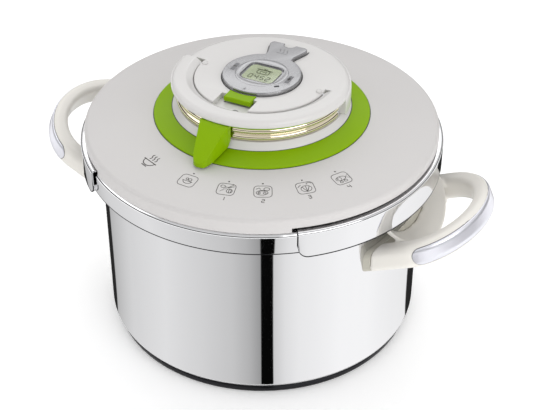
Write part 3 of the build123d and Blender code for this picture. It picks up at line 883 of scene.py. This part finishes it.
DIGIT_BARS = {"0": "abcdef", "1": "bc", "2": "abged", "3": "abgcd", "4": "fgbc", "5": "afgcd"}


def digit(text: str, x: float, y: float, width: float, height: float) -> list[np.ndarray]:
    """Return the straight bars of one digit.

    Args:
        text: the digit.
        x: place of its centre.
        y: place of its centre.
        width: its width.
        height: its height.

    Returns:
        One stroke for each bar.
    """
    a, b, gap = width / 2, height / 2, 0.12
    bars = {"a": ((-a, b), (a, b)), "b": ((a, b), (a, 0)), "c": ((a, 0), (a, -b)),
            "d": ((-a, -b), (a, -b)), "e": ((-a, 0), (-a, -b)), "f": ((-a, b), (-a, 0)),
            "g": ((-a, 0), (a, 0))}
    strokes = []
    for bar in DIGIT_BARS[text]:
        start, end = np.array(bars[bar][0]), np.array(bars[bar][1])
        inward = (end - start) / np.linalg.norm(end - start) * gap
        strokes.append(np.array([start + inward, end - inward]) + [x, y])
    return strokes


@dataclass
class CoverMarks:
    """Printed pictures round the selector's path, with a dot and a number each."""

    lid: Lid
    dot_ring: float = 95.3
    icon_ring: float = 103.4
    number_ring: float = 112.8
    ink: float = 0.44
    bowl_ink: float = 0.75
    bowl_place: Place = (-113.0, 102.5)
    proud: float = 0.03

    def icons(self) -> list[tuple[float, list[np.ndarray]]]:
        """Return the angle and strokes of each picture."""
        frame_box = box_stroke(12.4, 11.4, 2.8)
        stew = [frame_box, arc(0, -0.4, 3.2, 2.6, 180, 360), line((-3.9, -0.4), (3.9, -0.4)),
                arc(-1.2, 1.6, 0.9, 0.9, 0, 360), arc(1.2, 1.4, 1.2, 1.2, 0, 360)]
        roots = [frame_box, line((-4, -3), (1.0, 1.6), (-0.2, 2.4), (-4, -3)),
                 arc(2.6, -1.4, 2.0, 2.0, 0, 360), line((1, 2), (4.2, 5.0)),
                 line((1.2, 1.6), (5.2, 3.6)), arc(-2.8, 2.6, 1.6, 1.3, 0, 360),
                 arc(3.0, -1.4, 0.8, 1.9, 0, 360)]
        roast = [frame_box, arc(-0.6, -1.2, 4.0, 2.4, 0, 360), arc(-0.6, -0.6, 2.4, 1.2, 20, 200),
                 arc(2.6, 2.4, 2.0, 1.5, 0, 360), line((-4.8, 2.4), (-2.6, 3.6), (-1.4, 2.2)),
                 arc(-2.6, -1.4, 0.8, 0.8, 0, 360), arc(1.2, -1.6, 1.0, 0.8, 0, 360)]
        shell = [frame_box, arc(0.4, -0.8, 3.8, 3.0, 0, 360), line((0.4, -3.8), (-2.2, 1.2)),
                 line((0.4, -3.8), (0.4, 2.2)), line((0.4, -3.8), (3.0, 1.2)),
                 arc(3.4, 3.6, 1.8, 1.2, 0, 200),
                 line((-5, 1.6), (-2.6, 3.4))]
        fish = [frame_box, arc(-0.6, 0.2, 3.8, 2.0, 0, 360),
                line((3.2, 0.2), (6.0, 2.2), (6.0, -1.8), (3.2, 0.2)),
                arc(-2.8, 0.6, 0.4, 0.4, 0, 360), arc(-1.2, 0.2, 0.9, 1.5, -70, 70),
                arc(-2.0, -3.2, 1.1, 0.9, 0, 360), arc(1.6, -3.0, 1.3, 0.9, 0, 360)]
        return [(-92.7, stew), (-76.8, roots), (-62.8, roast), (-46.5, shell), (-31.2, fish)]

    def wrap(self, drawn: Surface, angle: float, ring: float) -> Surface:
        """Lay a flat drawing on the cover: x runs round it and y towards its middle.

        Args:
            drawn: the flat drawing.
            angle: heading of its origin in degrees.
            ring: distance of its origin from the axis.

        Returns:
            The surface on the cover.
        """
        flat, faces = drawn
        a = math.radians(angle)
        out, round_ = np.array([math.cos(a), math.sin(a)]), np.array([-math.sin(a), math.cos(a)])
        place = out * ring + flat[:, :1] * round_ - flat[:, 1:] * out
        height = self.lid.dome(np.hypot(place[:, 0], place[:, 1])) + self.proud
        return np.concatenate([place, height[:, None]], 1), faces

    def build(self) -> None:
        """Print the marks as thin raised ink."""
        dot = drawing([line((-0.55, 0), (0.55, 0))], 1.1)
        parts = []
        for number, (angle, strokes) in enumerate(self.icons()):
            parts.append(self.wrap(drawing(strokes, self.ink), angle, self.icon_ring))
            parts.append(self.wrap(dot, angle, self.dot_ring))
            if number:
                marks = drawing(digit(str(number), 0, 0, 2.0, 3.2), 0.5)
                parts.append(self.wrap(marks, angle, self.number_ring))
        add_ink("printed_pictures", joined(*parts), INK, "lid")
        bowl = [arc(0, 0, 5.2, 4.6, 180, 360), line((-6.6, 0), (6.6, 0)), line((-2.6, -5.6), (2.6, -5.6))]
        steam = [self.wave(x, 1.6, 5.0) for x in (-2.8, 0.0, 2.8)]
        bowl = self.wrap(drawing(bowl + steam, self.bowl_ink), *self.bowl_place)
        add_ink("plain_bowl_mark", bowl, INK, "lid")

    @staticmethod
    def wave(x: float, low: float, height: float) -> np.ndarray:
        """Return one wavy upright stroke: x plus a sine of the height."""
        t = np.linspace(0, 1, 17)
        return np.stack([x + 0.7 * np.sin(2 * math.pi * t), low + height * t], -1)


def add_ink(name: str, surface: Surface, finish: Finish, body: str) -> None:
    """Make thin raised ink from an open surface.

    Args:
        name: object name.
        surface: where it lies.
        finish: its finish.
        body: the body that carries it.
    """
    piece = make_piece(name, surface, finish, body)
    modify(piece, "ink_thickness", "SOLIDIFY", thickness=INK_THICK * MM, offset=0.0)


# ------------------------------------------------------------------ timer
@dataclass
class Timer:
    """The lift-off timer: silver case, display, keys and engraved marks."""

    top: float = 206.92
    lens_top: float = 206.07
    cap_top: float = 204.04
    key_x: float = 22.0
    key_half: Place = (1.6, 5.0)
    key_low: float = 205.6
    ring: float = 19.6
    window: Place = (14.1, 12.6)
    swell: float = 0.30
    dip: float = 0.5

    def build(self) -> None:
        """Make the timer's pieces."""
        moulding("timer_case", "timer", SILVER, 0.35)
        self.fascia()
        self.outline()
        self.key("key_minus", -self.key_x)
        self.key("key_plus", self.key_x)
        pot = [box_stroke(9.4, 5.6, 1.6) + [0.0, 2.6], line((-6.2, 5.6), (6.2, 5.6)),
               line((-1.4, 7.0), (1.4, 7.0)),
               line((-2.2, 1.4), (-2.2, 3.6), (0, 2.6), (2.2, 3.6), (2.2, 1.4))]
        figures = [bar for text, x in (("0", -6.6), ("4", -2.0), ("5", 2.6), ("2", 7.2))
                   for bar in digit(text, x, -5.4, 2.6, 5.0)]
        self.flat_ink("display_figures", pot + figures, 0.55, self.lens_top + 0.02, DIGIT_INK, "timer")
        steam = [CoverMarks.wave(x, 34.0, 4.6) for x in (-2.6, 0.2, 3.0)] + [line((-4.2, 32.4), (4.6, 32.4))]
        steam += [stroke + [-0.9, -25.4] for stroke in self.hand_mark()]
        self.flat_ink("engraved_marks", steam, 0.4, self.top + 0.01, ENGRAVED_AND_GAP_SHADE, "timer")
        # The reset slot is drawn as a flat dark stroke: painted shade for the recess.
        slot = [line((16.8, -13.8), (19.8, -11.8))]
        self.flat_ink("reset_slot_painted_shade", slot, 2.0, self.top + 0.02, DARK, "timer")
        level, upright = line((-1.305, 0), (1.305, 0)), line((0, -1.98), (0, 1.98))
        signs = (("key_minus", -self.key_x, [level]), ("key_plus", self.key_x, [level, upright]))
        for body, x, sign in signs:
            sign = [stroke + [x, 0.0] for stroke in sign]
            self.flat_ink(f"{body}_mark", sign, 1.1, self.top + 0.33, INK, body)

    def key(self, body: str, x: float) -> None:
        """Make one key: a rounded bar whose top edge narrows by a quarter millimetre.

        Args:
            body: the body that carries it, also the end of its node's name.
            x: where its middle stands.
        """
        half = np.array(self.key_half)
        plan = box_stroke(*(2 * half), 0.7)[:-1]
        height = np.array([self.key_low, self.top - 0.1, self.top + 0.2, self.top + 0.32])
        inset = np.array([0.0, 0.0, 0.08, 0.28])
        ring = plan * (1 - inset[:, None, None] / half) + [x, 0.0]
        points = np.concatenate([ring, height[:, None, None] + 0 * ring[..., :1]], -1)
        make_piece(f"{body}_bar", sheet(points, False, True, True), ENGRAVED_AND_GAP_SHADE, body, (f"timer_{body}",), 50)

    def fascia(self) -> None:
        """Make the dished ring round the display.

        Between a circle and a squarish curve (the sum of the fifth powers of x and y over
        the window's halves is one) the height swells as a half sine leaning outward.
        """
        turn = np.radians(turn_angles(0, FULL_TURN, 144))[:, None]
        wide, high = self.window
        inner = ((np.abs(np.cos(turn)) / wide) ** 5 + (np.abs(np.sin(turn)) / high) ** 5) ** -0.2
        share = np.linspace(0, 1, 13)[None]
        radius = self.ring + (inner - self.ring) * share
        height = self.swell * np.sin(math.pi * (1 - share) ** 1.6) - self.dip * share ** 3
        height = self.top + 0.02 + height + 0 * turn
        points = np.stack([radius * np.cos(turn), radius * np.sin(turn), height], -1)
        piece = make_piece("timer_fascia", sheet(points, True, False), SILVER, "timer", (), 180)
        modify(piece, "thickness", "SOLIDIFY", thickness=0.15 * MM)

    def outline(self) -> None:
        """Lay a dark line of painted shadow that follows the timer's outline on the cap, where the gap under
        the timer is in shade.
        """
        ring = arc(0.0, 0.0, 29.5, 29.5, 112.5, 427.5)
        ring = np.concatenate([[(-15.6, 47.6), (-15.6, 43.0), (-11.5, 31.0)], ring,
                               [(11.5, 31.0), (15.6, 43.0), (15.6, 47.6)]])
        self.flat_ink("timer_painted_gap_shadow", [ring], 0.9, self.cap_top, DARK, "lid")

    @staticmethod
    def hand_mark() -> list[np.ndarray]:
        """Return a small push sign: an arrow over a bar."""
        return [line((0, 1.4), (0, -0.8)), line((-1.1, 0.3), (0, -0.8), (1.1, 0.3)),
                line((-1.6, -1.6), (1.6, -1.6))]

    @staticmethod
    def flat_ink(name: str, strokes: list[np.ndarray], width: float, height: float, finish: Finish,
                 body: str) -> None:
        """Lay a flat drawing at one height.

        Args:
            name: object name.
            strokes: the drawing.
            width: width of its lines.
            height: where it lies.
            finish: its finish.
            body: the body that carries it.
        """
        flat, faces = drawing(strokes, width)
        add_ink(name, (np.insert(flat, 2, height, 1), faces), finish, body)


# ------------------------------------------------------------------ carried-over nodes
CARRIED = {
    PLAIN_STEEL: ("handle_bracket_left", "handle_bracket_right", "handle_screws", "cover_screws",
                  "knob_bolt", "bail_pins", "jaw_arm_left", "jaw_arm_right", "jaw_rivets_left",
                  "jaw_rivets_right", "safety_valve", "safety_valve_nut", "steam_valve", "indicator_pin"),
    SEAL: ("lid_gasket", "indicator_bushing"),
    BEIGE: ("arm_guide_left", "arm_guide_right"),
    DARK: ("timer_back",),
    CRYSTAL: ("timer_display",),
    LENS: ("timer_lens",),
}


def dress_nodes() -> None:
    """Give every node that stays in view its own finish."""
    for finish, names in CARRIED.items():
        for name in names:
            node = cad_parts[name]
            if not node.material_slots:
                node.data.materials.append(finish.material())
            for place in node.material_slots:
                place.link = "OBJECT"
                place.material = finish.material()
            LOG.info("%s keeps its mesh", name)


# ------------------------------------------------------------------ studio
@dataclass
class Studio:
    """Camera, pale floor, soft lights and the dark cards that polished steel mirrors."""

    eye: Triple = (0.3687, -0.7254, 0.6704)
    aim: Triple = (0.0043, 0.0022, 0.0885)
    lens: float = 85.76
    wall_radius: float = 121.0
    reach: float = 420.0
    heading: float = 62.9
    strength: float = 1.15
    span: Place = (-150.0, 24.0)
    dark: float = 0.02
    strip: Place = (-63.5, -59.4)
    strip_grey: float = 0.002
    left_greys: tuple[Place, ...] = ((-136.6, 0.44), (-120.0, 0.67), (-101.0, 0.77), (-85.0, 0.67),
                                     (-74.0, 0.58), (-68.0, 0.47), (-63.8, 0.33))
    right_greys: tuple[Place, ...] = ((-59.1, 0.62), (-55.0, 0.77), (-50.0, 0.85), (-34.0, 0.95),
                                      (-22.0, 0.95), (6.8, 0.80))
    room_radius: float = 1300.0
    room_heights: tuple[float, ...] = (-30.0, 40.0, 60.0, 420.0, 500.0)
    room_greys: tuple[float, ...] = (0.7, 0.6, 0.03, 0.05, 0.6)

    def build(self) -> None:
        """Set up the studio."""
        self.camera()
        self.world()
        self.floor()
        self.soft_box("key", (-0.4, 0.7, 1.6), 1.9, 11.5)
        self.soft_box("right", (1.3, -0.7, 0.5), 1.2, 9.0)
        self.soft_box("left", (-1.3, -0.6, 0.8), 1.0, 3.0)
        self.cards()
        bpy.context.scene.view_settings.view_transform = "Standard"

    def camera(self) -> None:
        """Place the camera."""
        data = bpy.data.cameras.new("camera")
        data.lens = self.lens
        data.sensor_width = 36.0
        camera = stand("camera", data)
        camera.location = self.eye
        look = Vector(self.aim) - Vector(self.eye)
        camera.rotation_euler = look.to_track_quat("-Z", "Y").to_euler()
        bpy.context.scene.camera = camera

    @staticmethod
    def world() -> None:
        """Make a white surround, a little greyer overhead."""
        world = bpy.data.worlds.new("surround")
        bpy.context.scene.world = world
        world.use_nodes = True
        nodes, links = world.node_tree.nodes, world.node_tree.links
        place = nodes.new("ShaderNodeTexCoord")
        split = nodes.new("ShaderNodeSeparateXYZ")
        ramp = nodes.new("ShaderNodeValToRGB")
        ramp.color_ramp.elements[0].position = 0.0
        ramp.color_ramp.elements[0].color = (1.0, 1.0, 1.0, 1.0)
        ramp.color_ramp.elements[1].position = 0.9
        ramp.color_ramp.elements[1].color = (0.62, 0.62, 0.625, 1.0)
        links.new(place.outputs["Generated"], split.inputs["Vector"])
        links.new(split.outputs["Z"], ramp.inputs["Fac"])
        links.new(ramp.outputs["Color"], nodes["Background"].inputs["Color"])
        nodes["Background"].inputs["Strength"].default_value = 0.95

    @staticmethod
    def floor() -> None:
        """Lay the plain pale floor."""
        mesh = bpy.data.meshes.new("studio_floor")
        mesh.from_pydata([(-4, -4, 0), (4, -4, 0), (4, 4, 0), (-4, 4, 0)], [], [(0, 1, 2, 3)])
        floor = stand("studio_floor", mesh)
        paint = bpy.data.materials.new("pale_floor")
        paint.use_nodes = True
        shader = paint.node_tree.nodes["Principled BSDF"]
        shader.inputs["Base Color"].default_value = (0.93, 0.93, 0.93, 1.0)
        shader.inputs["Roughness"].default_value = 0.9
        shader.inputs["Specular IOR Level"].default_value = 0.1
        shader.inputs["Emission Color"].default_value = (1.0, 1.0, 1.0, 1.0)
        shader.inputs["Emission Strength"].default_value = 0.22
        mesh.materials.append(paint)

    def soft_box(self, name: str, place: Triple, size: float, power: float) -> None:
        """Hang one soft light that looks at the cooker.

        Args:
            name: object name.
            place: where it hangs, in metres.
            size: side of its square in metres.
            power: its power in watts.
        """
        data = bpy.data.lights.new(name, "AREA")
        data.size = size
        data.energy = power
        light = stand(name, data)
        light.location = place
        light.rotation_euler = (Vector(self.aim) - Vector(place)).to_track_quat("-Z", "Y").to_euler()

    def cards(self) -> None:
        """Lay the shaded card that the steel walls mirror, and the dark band round the room.

        The card starts at the pot's wall. Its row at wall angle a runs out along the
        heading 2a + 63 degrees, the way a view from the camera's side leaves the wall there,
        so each row shows as one upright band of its own grey.
        """
        first, last = self.left_greys[0][0] - 0.8, self.right_greys[-1][0] + 0.8
        stops = [(self.span[0], self.dark), (first, self.dark), *self.left_greys,
                 *[(angle, self.strip_grey) for angle in self.strip], *self.right_greys,
                 (last, self.dark), (self.span[1], self.dark)]
        angles, greys = np.array(stops).T
        wall = np.unique(np.concatenate([angles, np.arange(self.span[0], self.span[1], 2.0)]))
        grey = self.strength * np.interp(wall, angles, greys)
        a, heading = np.radians(wall)[:, None], np.radians(2 * wall + self.heading)[:, None]
        run = np.linspace(1.0, self.reach, 22)
        points = np.stack([self.wall_radius * np.cos(a) + run * np.cos(heading),
                           self.wall_radius * np.sin(a) + run * np.sin(heading), 0.6 + 0 * a * run], -1)
        self.card("floor_card", points, np.repeat(grey, len(run)))
        turn = np.radians(np.linspace(-180.0, 180.0, 73))[:, None]
        height = np.array(self.room_heights) + 0 * turn
        ring = np.stack([self.room_radius * np.cos(turn) + 0 * height,
                         self.room_radius * np.sin(turn) + 0 * height, height], -1)
        self.card("room_band", ring, np.tile(self.room_greys, len(turn)))

    @staticmethod
    def card(name: str, points: np.ndarray, grey: np.ndarray) -> None:
        """Make one glowing card with a grey at each point, seen only in reflections.

        Args:
            name: object name.
            points: grid of points, (rows, cols, 3), in millimetres.
            grey: brightness at each point.
        """
        flat, (faces,) = sheet(points, False, False)
        mesh = bpy.data.meshes.new(name)
        mesh.from_pydata((flat * MM).tolist(), [], faces.tolist())
        layer = mesh.attributes.new("glow", "FLOAT", "POINT")
        layer.data.foreach_set("value", grey.astype(np.float32))
        paint = bpy.data.materials.new(name)
        paint.use_nodes = True
        nodes, links = paint.node_tree.nodes, paint.node_tree.links
        nodes.clear()
        read = nodes.new("ShaderNodeAttribute")
        read.attribute_name = "glow"
        glow = nodes.new("ShaderNodeEmission")
        out = nodes.new("ShaderNodeOutputMaterial")
        links.new(read.outputs["Fac"], glow.inputs["Strength"])
        links.new(glow.outputs["Emission"], out.inputs["Surface"])
        mesh.materials.append(paint)
        card = stand(name, mesh)
        for ray in ("camera", "diffuse", "shadow", "transmission"):
            setattr(card, f"visible_{ray}", False)


def main() -> None:
    """Build the cooker piece by piece, then the studio."""
    logging.basicConfig(level=logging.INFO, format="%(name)s %(message)s")
    lid = Lid()
    assemblies = [Pot(), SideHandle("right"), SideHandle("left"), lid, Knob(), CoverMarks(lid), Timer()]
    for assembly in assemblies:
        assembly.build()
        LOG.info("%s built", type(assembly).__name__)
    dress_nodes()
    Studio().build()


if __name__ == "__main__":
    main()
